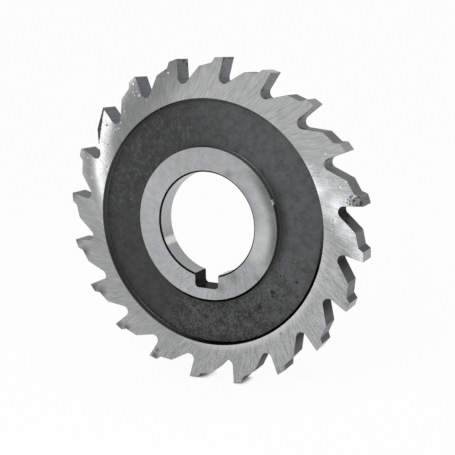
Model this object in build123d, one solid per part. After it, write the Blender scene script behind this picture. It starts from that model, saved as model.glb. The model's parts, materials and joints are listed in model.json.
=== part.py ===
"""A slotting cutter: a straight-toothed disc milling cutter with a keyed bore.

One piece of tool steel. The blank is turned: a hub and a toothed rim of one width, with a thinner
web between them on both sides. The teeth are milled through the rim, each with a ground land, a
step behind the land, a flat back and a round gullet. The bore has a keyway for the arbor's key.

Millimetres and degrees. The bore lies along Y and the origin is its centre, halfway through the
width. The front face looks along -Y. +Z is up, and the cutter stands on the two teeth at -Z.
"""
from build123d import *
from math import cos, radians, sin, sqrt
import os

# The turned blank
cutting_diameter = 100.0
cutting_width = 7.0
side_clearance = 0.08      # each side of the rim falls away by this much, from the teeth to the web
rim_under_teeth = 4.8      # solid rim between the foot of the gullets and the recess
recess_depth = 2.0         # web below the hub's face, on each side
recess_fillet = 0.4
turned_edge_radius = 0.15

# The hub and its bore
bore_diameter = 32.0
bore_chamfer = 0.5
hub_wall = 7.5
keyway_width = 8.0
keyway_depth = 3.9         # from the bore's wall, at the middle of the keyway
keyway_corner_radius = 1.2
keyway_offset = -1.3       # the keyway's turn from straight down, seen from the front

# The teeth, each measured with its cutting edge at the top and its cutting face to the right
tooth_count = 20
tooth_depth = 7.5
rake_angle = 7.5
land_length = 2.8
land_relief = 8.8
step_length = 1.9
step_angle = 59.5
back_angle = 20.0
flank_angle = 36.5         # of the next tooth's flank, across the gullet
gullet_radius = 1.7
step_root_radius = 0.4
shoulder_radius = 0.8

# Teeth are counted counter-clockwise from the left one of the two that it stands on
unrelieved_teeth = {13}    # one back straight from its cutting edge, with no land or step

# Wear, by tooth
blunt_edges = {4: 0.5, 14: 0.6}
worn_corners = {6: 0.45}

tip_radius = cutting_diameter / 2
bore_radius = bore_diameter / 2
half_width = cutting_width / 2
hub_radius = bore_radius + hub_wall
gullet_floor = tip_radius - tooth_depth
recess_radius = gullet_floor - rim_under_teeth
web_half = half_width - recess_depth
tooth_pitch = 360 / tooth_count
stock = 2.0                # what cuts reach past the surface they cut


def along(angle: float) -> Vector:
    """A unit step in the plane of the teeth, counter-clockwise from the right."""
    return Vector(cos(radians(angle)), sin(radians(angle)))


def turned(point: Vector, angle: float) -> Vector:
    """A point of the tooth plane, turned counter-clockwise about the bore's axis."""
    return point.rotate(Axis.Z, angle)


def meeting(start: Vector, way: Vector, other_start: Vector, other_way: Vector) -> Vector:
    """Where two lines of the tooth plane cross."""
    gap = other_start - start
    share = (gap.X * other_way.Y - gap.Y * other_way.X) / (way.X * other_way.Y - way.Y * other_way.X)
    return start + way * share


def gullet_centre() -> Vector:
    """Centre of the gullet's arc, which touches the cutting face and the gullet's floor circle."""
    beside_face = Vector(0, tip_radius) + along(-rake_angle) * gullet_radius
    down_face = along(270 - rake_angle)
    fall = -beside_face.dot(down_face)
    reach = gullet_floor + gullet_radius
    return beside_face + down_face * (fall - sqrt(fall**2 - beside_face.length**2 + reach**2))


def tooth_corners(relieved: bool) -> list[Vector]:
    """Corners of one tooth, from the foot of its cutting face over the edge and down its back."""
    edge = Vector(0, tip_radius)
    flank_way = along(flank_angle)
    flank_start = gullet_centre() + along(flank_angle - 90) * gullet_radius
    foot = meeting(edge, along(270 - rake_angle), flank_start, flank_way)
    land_end = edge + along(180 + land_relief) * land_length
    step_root = land_end + along(180 + step_angle) * step_length
    shoulder = meeting(
        step_root if relieved else edge,
        along(180 + back_angle),
        turned(flank_start, tooth_pitch),
        turned(flank_way, tooth_pitch),
    )
    return [foot, edge, land_end, step_root, shoulder] if relieved else [foot, edge, shoulder]


def toothed_outline() -> Face:
    """The outline of all the teeth, facing the front."""
    corners = []
    radii = []
    for tooth in range(tooth_count):
        relieved = tooth not in unrelieved_teeth
        corners += [turned(corner, tooth_turn(tooth)) for corner in tooth_corners(relieved)]
        radii += [gullet_radius, blunt_edges.get(tooth, 0)]
        radii += [0, step_root_radius] if relieved else []
        radii += [shoulder_radius]
    outline = FilletPolyline(*corners, radius=radii, close=True)
    return Plane.XZ * make_face(outline)


def tooth_turn(tooth: int) -> float:
    """How far a tooth is turned from the top: the first two stand either side of straight down."""
    return 180 - tooth_pitch / 2 + tooth * tooth_pitch


def blank() -> Part:
    """The turned disc, larger than the teeth by the stock that the milling takes off."""
    past_teeth = tip_radius + stock
    clearance_slope = side_clearance / (tip_radius - recess_radius)
    side = [
        (Vector(bore_radius, half_width - bore_chamfer), 0),
        (Vector(bore_radius + bore_chamfer, half_width), 0),
        (Vector(hub_radius, half_width), turned_edge_radius),
        (Vector(hub_radius, web_half), recess_fillet),
        (Vector(recess_radius, web_half), recess_fillet),
        (Vector(recess_radius, half_width - side_clearance), turned_edge_radius),
        (Vector(past_teeth, half_width + stock * clearance_slope), 0),
    ]
    mirrored = [(Vector(point.X, -point.Y), radius) for point, radius in reversed(side)]
    points, radii = zip(*(side + mirrored))
    section = FilletPolyline(*points, radius=radii, close=True)
    return revolve(make_face(section), axis=Axis.Y)


def keyway() -> Part:
    """The space of the keyway, from the bore's middle to its floor."""
    floor = bore_radius + keyway_depth
    space = Pos(0, -floor / 2) * Rectangle(keyway_width, floor)
    space = fillet(space.vertices().group_by(Axis.Y)[0], keyway_corner_radius)
    space = Plane.XZ * (Rot(0, 0, keyway_offset) * space)
    return extrude(space, amount=half_width + stock, both=True)


def worn_corner(tooth: int, size: float) -> Part:
    """What has crumbled off the front corner of a tooth, along its land."""
    wedge = Rot(45, 0, 0) * Box(2 * land_length, size * sqrt(2), size * sqrt(2))
    at_land = Pos(-land_length * cos(radians(land_relief)), -half_width, tip_radius) * wedge
    return Rot(0, -tooth_turn(tooth), 0) * at_land


def slotting_cutter() -> Part:
    """The finished cutter."""
    teeth = extrude(toothed_outline(), amount=half_width + stock, both=True)
    cutter = blank() & teeth
    cutter -= keyway()
    for tooth, size in worn_corners.items():
        cutter -= worn_corner(tooth, size)
    return cutter


os.makedirs("parts", exist_ok=True)
export_step(slotting_cutter(), "parts/slotting_cutter.step")
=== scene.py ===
"""A slotting cutter standing on a sheet of white paper: a disc milling cutter with a keyed bore.

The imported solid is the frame: it gives the width, the bore and the place of everything. The cutter
that shows is modelled around the same axis: a blank is turned, its teeth and keyway are milled, its
edges are broken and worn, and each kind of surface gets its own finish.

The bore lies along Y, the front face looks along -Y and +Z is up. Everything is in metres, but the
tables of marks, sectors and rings below are in millimetres and degrees. Teeth and angles are counted
counter-clockwise, seen from the front: the teeth from the left one of the two that it stands on, the
angles from the right.
"""
import json
from contextlib import contextmanager
from functools import reduce
from math import atan2, cos, degrees, hypot, pi, radians, sin, sqrt, tan
from operator import or_

import bmesh
import bpy
from bpy.props import FloatProperty, FloatVectorProperty, IntProperty, PointerProperty
from mathutils import Matrix, Vector

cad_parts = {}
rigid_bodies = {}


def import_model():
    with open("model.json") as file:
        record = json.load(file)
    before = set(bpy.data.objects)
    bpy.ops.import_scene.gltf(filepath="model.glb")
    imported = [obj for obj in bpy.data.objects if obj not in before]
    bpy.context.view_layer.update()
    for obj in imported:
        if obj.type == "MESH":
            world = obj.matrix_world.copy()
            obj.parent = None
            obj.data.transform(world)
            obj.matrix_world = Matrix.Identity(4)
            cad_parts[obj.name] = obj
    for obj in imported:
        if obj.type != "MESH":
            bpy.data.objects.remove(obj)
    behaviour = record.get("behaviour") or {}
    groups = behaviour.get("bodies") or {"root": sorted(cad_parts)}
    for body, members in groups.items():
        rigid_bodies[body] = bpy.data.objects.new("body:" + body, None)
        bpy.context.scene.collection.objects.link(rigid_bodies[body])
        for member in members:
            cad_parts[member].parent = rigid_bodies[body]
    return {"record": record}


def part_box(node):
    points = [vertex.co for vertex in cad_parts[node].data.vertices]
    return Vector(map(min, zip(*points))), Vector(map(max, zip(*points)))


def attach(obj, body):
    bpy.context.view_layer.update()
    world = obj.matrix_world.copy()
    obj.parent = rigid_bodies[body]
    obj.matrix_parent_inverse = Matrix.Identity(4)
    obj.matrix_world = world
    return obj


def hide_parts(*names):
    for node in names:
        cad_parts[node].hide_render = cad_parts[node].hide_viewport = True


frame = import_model()
solid_low, solid_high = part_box("slotting_cutter")
bore_mount = next(mount for mount in frame["record"]["mounts"] if mount["name"] == "bore")

bl_info = {
    "name": "Slotting cutter",
    "version": (1, 0, 0),
    "blender": (4, 5, 0),
    "location": "View3D > Sidebar > Cutter",
    "description": "Models a straight-toothed disc milling cutter and its table",
    "category": "Object",
}

MM = 0.001
CLOSE = 0.01 * MM          # two places nearer than this are one place
SAME_PLACE = 0.1 * CLOSE   # what rounding puts between two copies of a place
BLANK_SIDES = 240          # sides of the turned circles; a multiple of the teeth
ARC_STEP = 8.0             # degrees that one step of a small arc turns
SECTION_STEPS = 3          # steps round a fillet of the turned section
CORNER_STEPS = 6           # steps round a keyway corner or a blunted edge
WEDGE_CUTS = 14            # cuts along a crumbled corner
PAST_TEETH = 1.04          # the blank's radius before milling, over that of the tips
UNDER_GULLETS = 0.5 * MM   # from the gullets' floor to the turned line below them
GULLET_FROM_TIP = radians(1.5)    # from a tooth's edge back to the gullet before it
SHARP = radians(35)        # an edge that turns more than this gets broken
SMOOTH = radians(32)       # an edge that turns less than this is shaded smooth

# Painted shade, partly black scale, lies in the recess's corners in two crescents round one point, and fades
# out over a soft border
CORNER_SHADE_CENTRE = (-1.04 * MM, 0, -0.44 * MM)
CORNER_SHADE_BY_HUB = 24.3 * MM    # the radius that the inner crescent reaches
CORNER_SHADE_BY_RIM = 37.35 * MM   # the radius that the outer one starts at
CORNER_SHADE_BORDER = 0.15 * MM

# Wear, and painted shade on some lands and flanks, by tooth
UNRELIEVED_TOOTH = 13      # its back runs straight from its cutting edge, with no land or step
CRUMBLED_TOOTH = 6
BLUNT_TEETH = {4: 0.5 * MM, 14: 0.6 * MM}
# Painted shade: these teeth's lands get shaded copies of the land's finish
LAND_SHADING = {4: "shaded_land", 5: "shaded_land", 6: "darker_shaded_land", 7: "shaded_land", 8: "shaded_land"}
# The flanks and gullet floors of these teeth get painted shade
SHADED_FLANKS = (1, 2, 3, 4, 5)
BURR_DOWN_FLANK = 0.45     # how much of the flank the unrelieved tooth's rough corner reaches down
BURR_RUNS_OUT = 0.1        # its width there, over that at the shoulder
BURR_DEPTH = 0.45          # its depth over its width

# Milled faces are told by the way that they face, from the way out to their tooth's edge, and by their
# radius over that of the tips
RAKE_FACING = (-104, -90)
LAND_FACING = (-90, 14)
FLANK_FACING = (45, 62)
LANDS_FROM = 0.98
GULLETS_UP_TO = 0.9

# Lumps taken out of the front: radius and angle, width and depth, and the finish that they leave
PITS = (
    (48.7, 11.0, 3.0, 0.6, "hollow"), (47.8, 10.4, 1.9, 0.45, "hollow"), (49.3, 10.0, 1.4, 0.6, "hollow"),
    (46.9, 11.2, 1.5, 0.3, "chip"), (46.3, 10.5, 0.8, 0.2, "chip"), (46.9, 12.7, 0.9, 0.25, "chip"),
    (46.0, 12.1, 0.6, 0.2, "chip"), (47.5, 12.9, 0.6, 0.25, "chip"), (45.6, 11.1, 0.5, 0.15, "chip"),
    (45.3, 12.4, 0.4, 0.15, "chip"), (47.6, 10.2, 1.0, 0.5, "chip"), (48.5, 9.9, 0.8, 0.6, "chip"),
    (48.1, 11.6, 0.6, 0.6, "chip"), (49.3, 12.6, 0.45, 0.3, "chip"), (23.5, 18.4, 1.0, 0.45, "land"),
    (23.55, 20.4, 1.0, 0.45, "land"),
)

# Marks: radius, angle and size, and off the front and the web their place along Y as well
FRONT = -3.5
WEB = -1.5
STAINS = (
    (46.7, 12.5, 0.8), (45.4, 138.8, 0.75), (41.6, 145.1, 0.5), (38.9, 154.7, 0.55), (47.5, 104.0, 0.4),
    (40.8, 5.0, 0.45), (43.4, 6.0, 0.35), (39.5, 307.1, 0.55), (41.2, 292.0, 0.4),
)
# Darker round the tips of the lower left teeth
DARK_TIPS = (
    (49.2, 189.0, 5.5), (47.6, 194.3, 6.5), (49.8, 171.0, 6.0), (49.0, 208.5, 6.5), (47.6, 211.5, 7.0),
    (49.2, 226.5, 5.5), (47.6, 229.3, 4.5), (48.8, 245.0, 4.0), (46.6, 245.2, 2.5),
)
# Dark blots, partly painted shade that dims the sheen
RIM_BLOTS_AND_SHADE = ((41.3, 15.5, 6.5), (44.2, 352.0, 4.0))
# Painted highlights on the rim at the right
RIM_HIGHLIGHTS = ((38.7, 8.5, 5.5), (41.4, 4.5, 2.5))
HUB_BLOTS_AND_SHADE = ((17.9, 299.0, 7.0), (17.6, 62.0, 4.5), (20.0, 283.0, 5.0), (22.8, 318.0, 3.5))
DROPLETS = (
    (41.4, 135.9, 0.6), (45.8, 119.0, 0.5), (44.4, 119.1, 0.75), (48.4, 119.0, 0.6), (42.0, 133.3, 0.55),
    (40.1, 1.5, 0.55), (43.5, 128.6, 0.4), (46.3, 120.6, 0.5), (43.8, 138.9, 0.45), (44.7, 16.9, 0.7),
    (44.6, 136.6, 0.45), (45.2, 120.8, 0.35), (45.5, 2.0, 0.4), (46.6, 103.4, 0.6), (41.9, 137.2, 0.45),
    (44.5, 29.7, 0.55), (47.0, 18.1, 0.45), (38.4, 155.1, 0.4), (45.4, 142.2, 0.4), (47.5, 141.8, 0.4),
    (46.6, 155.5, 0.5), (43.3, 162.5, 0.5),
)
RAKE_STAINS = (
    (49.6, 81.0, 1.9, -3.3), (49.0, 81.1, 1.6, -3.2), (48.3, 81.2, 1.2, -3.3), (47.2, 81.4, 0.7, -2.9),
    (49.9, 81.0, 1.3, 0.6), (49.9, 81.0, 1.4, 2.4), (46.1, 81.6, 0.6, -0.5), (49.4, 99.1, 1.5, 0.9),
    (48.4, 99.3, 1.3, 2.7), (49.6, 99.1, 0.8, -1.3), (46.7, 99.5, 0.5, -0.5), (46.5, 99.6, 0.6, 1.9),
    (47.9, 99.3, 0.5, -2.7), (49.5, 63.1, 0.7, -2.8), (49.6, 117.1, 0.6, 1.5), (47.8, 117.4, 0.5, -2.0),
)
WEB_PITS = (
    (29.7, 265.6, 1.3), (30.6, 295.6, 1.2), (29.1, 293.8, 1.0), (29.6, 303.8, 1.9), (29.5, 315.0, 1.2),
    (28.5, 316.5, 1.7), (32.7, 331.0, 1.0), (26.0, 275.0, 1.1),
)
# Painted shade on the flanks, darkest towards the gullet
FLANK_SHADE = ((43.2, 8.6, 5.0, -2.0), (43.4, 7.0, 4.0, 1.0), (44.3, 4.5, 2.5, -2.0))
HOLLOW_SHADOWS = (
    (49.4, 10.3, 1.2, -3.0), (48.2, 9.5, 1.2, -3.2), (49.2, 12.4, 0.8, -3.0), (47.6, 11.4, 0.7, -3.2),
)
# Painted glints on the hub's wall by the two nicks in its edge
NICK_GLINTS = ((23.5, 19.0, 1.6, -2.9), (23.5, 21.0, 0.8, -2.6))
LONE_FLECKS = ((27.2, 315.7, 0.35), (29.6, 341.0, 0.3), (31.6, 151.0, 0.3))

# The grinding lines: at a radius, how far they lean clockwise from the radial way as they run
# outwards, and how much less they lean for every metre further out
RIM_GRINDING = (44 * MM, radians(22), radians(3) / MM)
HUB_GRINDING = (20 * MM, radians(21), 0.0)

# The finishes with cut marks: by surface, the material's name, its roughness, how its marks run, how
# deep they are in millimetres, and what else it has
ACROSS_WIDTH = (2500, 60, 2500)
ROUND_BORE = (40, 3000, 40)
GRAINY = (2500, 2500, 2500)
CUT_FINISHES = {
    "bore": ("Ground bore", 0.3, ROUND_BORE, 0.002, {"sheen": 0.5, "gleam": "bore highlight"}),
    "rake": ("Cutting face", 0.42, ACROSS_WIDTH, 0.01, {"stains_and_shadows": RAKE_STAINS}),
    "back": ("Milled tooth", 0.45, ACROSS_WIDTH, 0.012, {}),
    # Painted shade on the lower right flanks, deepening into the gullets
    "shaded_flank": ("Shaded flank", 0.45, ACROSS_WIDTH, 0.012, {"stains_and_shadows": FLANK_SHADE, "burnt": 0.8}),
    "land": ("Ground land", 0.34, ACROSS_WIDTH, 0.005, {}),
    # Shaded copies of the ground land: painted shade
    "shaded_land": ("Shaded land", 0.4, ACROSS_WIDTH, 0.006, {}),
    "darker_shaded_land": ("Darker shaded land", 0.42, ACROSS_WIDTH, 0.01, {}),
    "edge": ("Worn edge", 0.35, ACROSS_WIDTH, 0.004, {}),
    "chip": ("Chipped corner", 0.4, GRAINY, 0.05, {}),
    "hollow": ("Crumbled hollow", 0.45, GRAINY, 0.02, {"stains_and_shadows": HOLLOW_SHADOWS}),
    "burr": ("Burnt corner", 0.45, GRAINY, 0.04, {}),
}

# The two colours that each surface varies between: what of it is dark or light, the dark colour and
# the light one
TONES = {
    "rim": ("grinding lines of the rim", (0.42, 0.424, 0.428), (0.67, 0.675, 0.68)),
    "hub": ("grinding lines of the hub", (0.37, 0.374, 0.378), (0.5, 0.505, 0.51)),
    "web": ("clouds of the blackened web", (0.016, 0.0162, 0.0165), (0.08, 0.082, 0.084)),
    "wall": ("clouds of the recess's walls", (0.032, 0.0325, 0.0335), (0.062, 0.063, 0.065)),
    # The scale colours paint shade: in the recess's corners (partly black scale), on the upper walls and deep
    # in the gullets; they also darken the walls' top edge
    "scale": ("grains of the scale", (0.001, 0.001, 0.001), (0.004, 0.004, 0.004)),
    "keyway": ("clouds of the keyway and the chamfer", (0.003, 0.003, 0.003), (0.012, 0.013, 0.011)),
    "bore": ("marks of the bore's wall", (0.34, 0.345, 0.35), (0.46, 0.465, 0.47)),
    "rake": ("marks of the cutting faces", (0.115, 0.117, 0.12), (0.25, 0.254, 0.26)),
    "back": ("marks of backs and gullets", (0.115, 0.117, 0.119), (0.205, 0.208, 0.212)),
    # Painted shade on the flanks of the lower right teeth
    "shaded_flank": ("marks of a shaded flank", (0.08, 0.082, 0.084), (0.2, 0.203, 0.206)),
    "land": ("marks of the lands", (0.42, 0.425, 0.43), (0.6, 0.605, 0.61)),
    # Shaded copies of the land's colours: painted shade
    "shaded_land": ("marks of a shaded land", (0.26, 0.265, 0.27), (0.4, 0.405, 0.41)),
    "darker_shaded_land": ("marks of a darker shaded land", (0.08, 0.082, 0.085), (0.2, 0.204, 0.208)),
    "edge": ("marks of broken edges", (0.3, 0.305, 0.31), (0.5, 0.505, 0.51)),
    "chip": ("grains of a chipped corner", (0.01, 0.01, 0.01), (0.6, 0.6, 0.6)),
    "hollow": ("grains of a crumbled hollow", (0.025, 0.025, 0.026), (0.4, 0.4, 0.405)),
    "burr": ("grains of a burnt corner", (0.012, 0.012, 0.013), (0.16, 0.16, 0.165)),
}

# Sectors of the cutter: the angle of the middle, half the width, half the width of the soft border
# and, where it leans, its clockwise turn for every millimetre further out
SECTORS = {
    "grainy rim": (302, 50, 20),
    "scuffed rim": (5, 15, 10, 2.7),
    "low left rim": (248, 62, 32),
    "low rim": (266, 26, 14),
    "rim below the glare": (176, 14, 8, 1.8),
    "end of the glare": (159.5, 4.5, 3.5, 2.6),
    "rim beside the glare": (119, 17, 13, 1.8),
    "polished rim": (146.5, 8.5, 4.5, 2.3),
    "lighter lower right rim": (308, 42, 20),
    "grainy hub": (286, 50, 20),
    "dark hub": (10, 32, 14),
    "low hub": (318, 42, 14),
    "bright hub": (343, 13, 10),
    "hub beside the bore": (22, 26, 14),
    "bore highlight": (203, 3, 3),
    "pale wall": (162, 24, 16),
    "lit upper wall": (54, 30, 8),
    "dark wall": (112, 26, 12),
    "corner shade by the hub": (279, 38, 12),
    "corner shade by the rim": (307, 46, 14),
    "grainy web": (293, 45, 12),
    "flecked web": (135, 42, 20),
    "pale web": (20, 62, 34),
    "web beside the hub": (5, 28, 18),
}
SHADED_SECTORS = {    # how much painted shade each gets
    "low left rim": 0.2, "low rim": 0.08, "rim below the glare": 0.06, "end of the glare": 0.27,
    "rim beside the glare": 0.4,
}

# Rings round the axis: the radius where each is whole, and the one where it has faded out
RINGS = {
    "rim's inside": (38, 40.5),
    "deep in the gullets": (42.5, 46.5),
    "hub's outside": (22.8, 19.8),
    "beside the bore": (16.6, 18.4),
    "beside the hub": (23.8, 27.5),
    "nearer the rim": (33, 28),
}

# The stage
TABLE_REACH = 1.5
SWEEP_HEIGHT = 0.3
CAMERA_AIM = (5.66 * MM, -0.1 * MM, -1.14 * MM)


def size(name, description, millimetres):
    """A length that a user may set, in metres."""
    return FloatProperty(
        name=name, description=description, default=millimetres * MM, min=0, unit="LENGTH", precision=5
    )


def turn(name, description, angle):
    """An angle that a user may set, given here in degrees."""
    return FloatProperty(name=name, description=description, default=radians(angle), subtype="ANGLE")


def share(name, description, value):
    """A value from 0 to 1 that a user may set."""
    return FloatProperty(name=name, description=description, default=value, min=0, max=1, subtype="FACTOR")


def colour(name, description, red, green, blue):
    """A colour that a user may set."""
    return FloatVectorProperty(
        name=name, description=description, default=(red, green, blue), min=0, max=1, size=3, subtype="COLOR"
    )


class BlankSizes(bpy.types.PropertyGroup):
    """The turned disc: hub, web and rim."""

    cutting_diameter: size("Cutting diameter", "Across the tips of the teeth", 100)
    cutting_width: FloatProperty(
        name="Cutting width",
        description="Over the teeth and the hub",
        default=solid_high.y - solid_low.y,
        unit="LENGTH",
        precision=5,
    )
    side_clearance: size("Side clearance", "Fall of each side of the rim from the teeth to the web", 0.08)
    recess_diameter: size("Recess diameter", "Of the sunk web", 75.4)
    recess_depth: size("Recess depth", "Web below the hub's face, on each side", 2)
    recess_fillet: size("Recess fillet", "At the foot of the recess's two walls", 0.4)
    turned_edge_radius: size("Turned edge", "Rounding at the hub's outer edge", 0.1)
    recess_edge: size("Recess edge", "Rounding at the rim's inner edge", 0.15)
    hub_diameter: size("Hub diameter", "Of the raised ring round the bore", 47)
    bore_diameter: FloatProperty(
        name="Bore diameter",
        description="Of the hole for the arbor",
        default=2 * bore_mount["dims"]["r_mm"] * MM,
        unit="LENGTH",
        precision=5,
    )
    bore_chamfer: size("Bore chamfer", "At both ends of the bore", 0.5)
    keyway_width: size("Keyway width", "Of the slot for the arbor's key", 8)
    keyway_depth: size("Keyway depth", "From the bore's wall", 3.9)
    keyway_corner_radius: size("Keyway corner", "Rounding of the keyway's two corners", 1.2)
    keyway_turn: turn("Keyway turn", "From straight down, seen from the front", -1.3)


class ToothSizes(bpy.types.PropertyGroup):
    """One tooth, with its cutting edge at the top and its cutting face to the right."""

    count: IntProperty(name="Teeth", description="Number of teeth", default=20, min=3)
    gullet_floor_diameter: size("Gullet floor", "Diameter that the gullets reach down to", 85)
    rake_angle: turn("Rake angle", "Of the cutting face", 7.5)
    land_length: size("Land length", "Ground strip behind the cutting edge", 2.8)
    land_relief: turn("Land relief", "Fall of the land behind the cutting edge", 8.8)
    step_length: size("Step length", "Of the step behind the land", 1.9)
    step_angle: turn("Step angle", "Slope of the step", 59.5)
    back_angle: turn("Back angle", "Slope of the back", 20)
    flank_angle: turn("Flank angle", "Slope of the next tooth's flank, across the gullet", 36.5)
    gullet_radius: size("Gullet radius", "Rounding at the foot of the cutting face", 1.7)
    step_root_radius: size("Step root", "Rounding at the foot of the step", 0.4)
    shoulder_radius: size("Shoulder", "Rounding between the back and the flank", 0.8)


class WearSizes(bpy.types.PropertyGroup):
    """What use has done to the edges."""

    broken_edge: size("Broken edge", "Width of the bevel along every milled edge", 0.05)
    crumbled_corner: size("Crumbled corner", "Width of what has crumbled off one tooth's corner", 0.45)
    burr_at_tip: size("Burr at the tip", "Width of the rough corner of the unrelieved tooth at its tip", 0.8)
    burr_at_shoulder: size("Burr at the shoulder", "Width of that corner where the back meets the flank", 2.2)
    ragged: size("Raggedness", "How far crumbled corners wander", 0.17)


class FinishColours(bpy.types.PropertyGroup):
    """The colours and polish of the cutter's surfaces."""

    ground_roughness: share("Ground roughness", "Of the ground sides", 0.40)
    rim_sheen: share("Rim sheen", "How far the lines stretch the light across the rim", 1.0)
    hub_sheen: share("Hub sheen", "The same on the hub", 0.6)
    grinding_width: size("Grinding line width", "Across one line", 0.24)
    grinding_length: size("Grinding line length", "Along one line", 3.5)
    grinding_depth: size("Grinding depth", "Of the lines on the ground sides", 0.003)
    # Used for real stains and for painted shade
    stain_and_shade: colour("Stain", "Burnt and corroded spots", 0.03, 0.03, 0.03)
    # Used for dried drops and for painted highlights and glints
    droplet_and_highlight: colour("Droplet", "Dried drops of coolant", 0.97, 0.97, 0.97)
    oxide_gloss: share("Oxide gloss", "Of the blackened web", 0.3)
    oxide_roughness: share("Oxide roughness", "Of the blackened web", 0.36)
    # Painted sheen: the blackened steel made paler where light falls on it, on the web's right and on some
    # walls
    painted_oxide_sheen: colour("Pale oxide", "Where black steel is worn paler, to one side", 0.1, 0.103, 0.105)
    # Also painted shadow on the web beside the hub
    oxide_pit_and_shade: colour("Oxide pit", "Specks in the web", 0.003, 0.003, 0.003)
    oxide_fleck: colour("Oxide fleck", "Pale specks in the web", 0.3, 0.3, 0.3)


for surface, (pattern, low, high) in TONES.items():
    label = surface.replace("_", " ").capitalize()
    FinishColours.__annotations__[surface + "_low"] = colour(label + ", low", "Dark " + pattern, *low)
    FinishColours.__annotations__[surface + "_high"] = colour(label + ", high", "Light " + pattern, *high)


class StageSettings(bpy.types.PropertyGroup):
    """The table, the light and the camera."""

    table: colour("Table", "Colour of the table and the sweep behind it", 0.94, 0.94, 0.94)
    table_glow: share("Table glow", "How far the table shows as plain white, with the shadow under it", 0.93)
    contact_shadow: size("Contact shadow", "How far round the teeth it stands on the shadow stays dark", 2.1)
    world_level: share("World level", "Strength of the light from all round", 0.73)
    key_power: FloatProperty(
        name="Key power", description="Of the softbox above the front", default=0.135, min=0, unit="POWER"
    )
    key_width: size("Key width", "Side of the softbox", 44)
    key_distance: size("Key distance", "From the cutter to the softbox", 205)
    key_azimuth: turn("Key azimuth", "To the right of the front", 5)
    key_height: turn("Key height", "Above the cutter's centre", 36)
    camera_lens: FloatProperty(name="Lens", description="Focal length", default=65.1, min=1, unit="CAMERA")
    camera_distance: size("Camera distance", "To the point it aims at", 249)
    camera_azimuth: turn("Camera azimuth", "To the right of the front", 27.55)
    camera_elevation: turn("Camera elevation", "Above the cutter's centre", 10.94)
    camera_roll: turn("Camera roll", "About its own axis", -1.85)


def along(angle):
    """A unit step in the plane of the teeth, counter-clockwise from the right, seen from the front."""
    return Vector((cos(angle), 0, sin(angle)))


def turned(point, angle):
    """A point turned counter-clockwise about the bore's axis, seen from the front."""
    return Matrix.Rotation(-angle, 3, "Y") @ point


def cross(first, second):
    """How far the second way lies to the left of the first, seen from the front."""
    return first.x * second.z - first.z * second.x


def meeting(start, way, other_start, other_way):
    """Where two lines of the tooth plane cross."""
    return start + way * (cross(other_start - start, other_way) / cross(way, other_way))


def distance_from_axis(point):
    """How far a point lies from the bore's axis."""
    return hypot(point.x, point.z)


@contextmanager
def editing():
    """Edits the active piece for a while."""
    bpy.ops.object.mode_set(mode="EDIT")
    yield
    leave_edit()


def take_all():
    """Selects all of the mesh being edited."""
    bpy.ops.mesh.select_all(action="SELECT")


def point_outwards():
    """Turns all faces of the mesh being edited outwards."""
    take_all()
    bpy.ops.mesh.normals_make_consistent(inside=False)


def leave_edit():
    """Ends the edit of a new piece."""
    bpy.ops.object.mode_set(mode="OBJECT")


def edit_new(add_primitive, name, **settings):
    """Adds a primitive with its turn and scale in its mesh, and leaves it in edit mode, all selected."""
    if bpy.ops.object.select_all.poll():
        bpy.ops.object.select_all(action="DESELECT")
    add_primitive(**settings)
    bpy.ops.object.transform_apply(location=True, rotation=True, scale=True)
    piece = bpy.context.object
    piece.name = name
    piece.data.name = name
    bpy.ops.object.mode_set(mode="EDIT")
    bpy.ops.mesh.select_mode(type="VERT")
    take_all()
    return piece


def pick(kind, wanted):
    """Selects, in the mesh being edited, only the vertices, edges or faces that pass a test."""
    bpy.ops.mesh.select_mode(type=kind)
    bpy.ops.mesh.select_all(action="DESELECT")
    mesh = bmesh.from_edit_mesh(bpy.context.object.data)
    for item in {"VERT": mesh.verts, "EDGE": mesh.edges, "FACE": mesh.faces}[kind]:
        if wanted(item):
            item.select_set(True)
    mesh.select_flush_mode()
    bmesh.update_edit_mesh(bpy.context.object.data)


def apply_modifier(piece, kind, **settings):
    """Gives a piece one modifier and applies it."""
    bpy.ops.object.mode_set(mode="OBJECT")
    bpy.context.view_layer.objects.active = piece
    modifier = piece.modifiers.new(kind.title(), kind)
    for name, value in settings.items():
        setattr(modifier, name, value)
    bpy.ops.object.modifier_apply(modifier=modifier.name)


def carve(piece, tool, operation="DIFFERENCE"):
    """Cuts a piece with a tool, whose finish stays on the cut, and throws the tool away."""
    settings = {"object": tool, "operation": operation, "solver": "EXACT", "material_mode": "TRANSFER"}
    apply_modifier(piece, "BOOLEAN", **settings)
    bpy.data.objects.remove(tool)


def under_gullets(tooth):
    """The radius of the turned line just below the gullets."""
    return tooth.gullet_floor_diameter / 2 - UNDER_GULLETS


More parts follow.
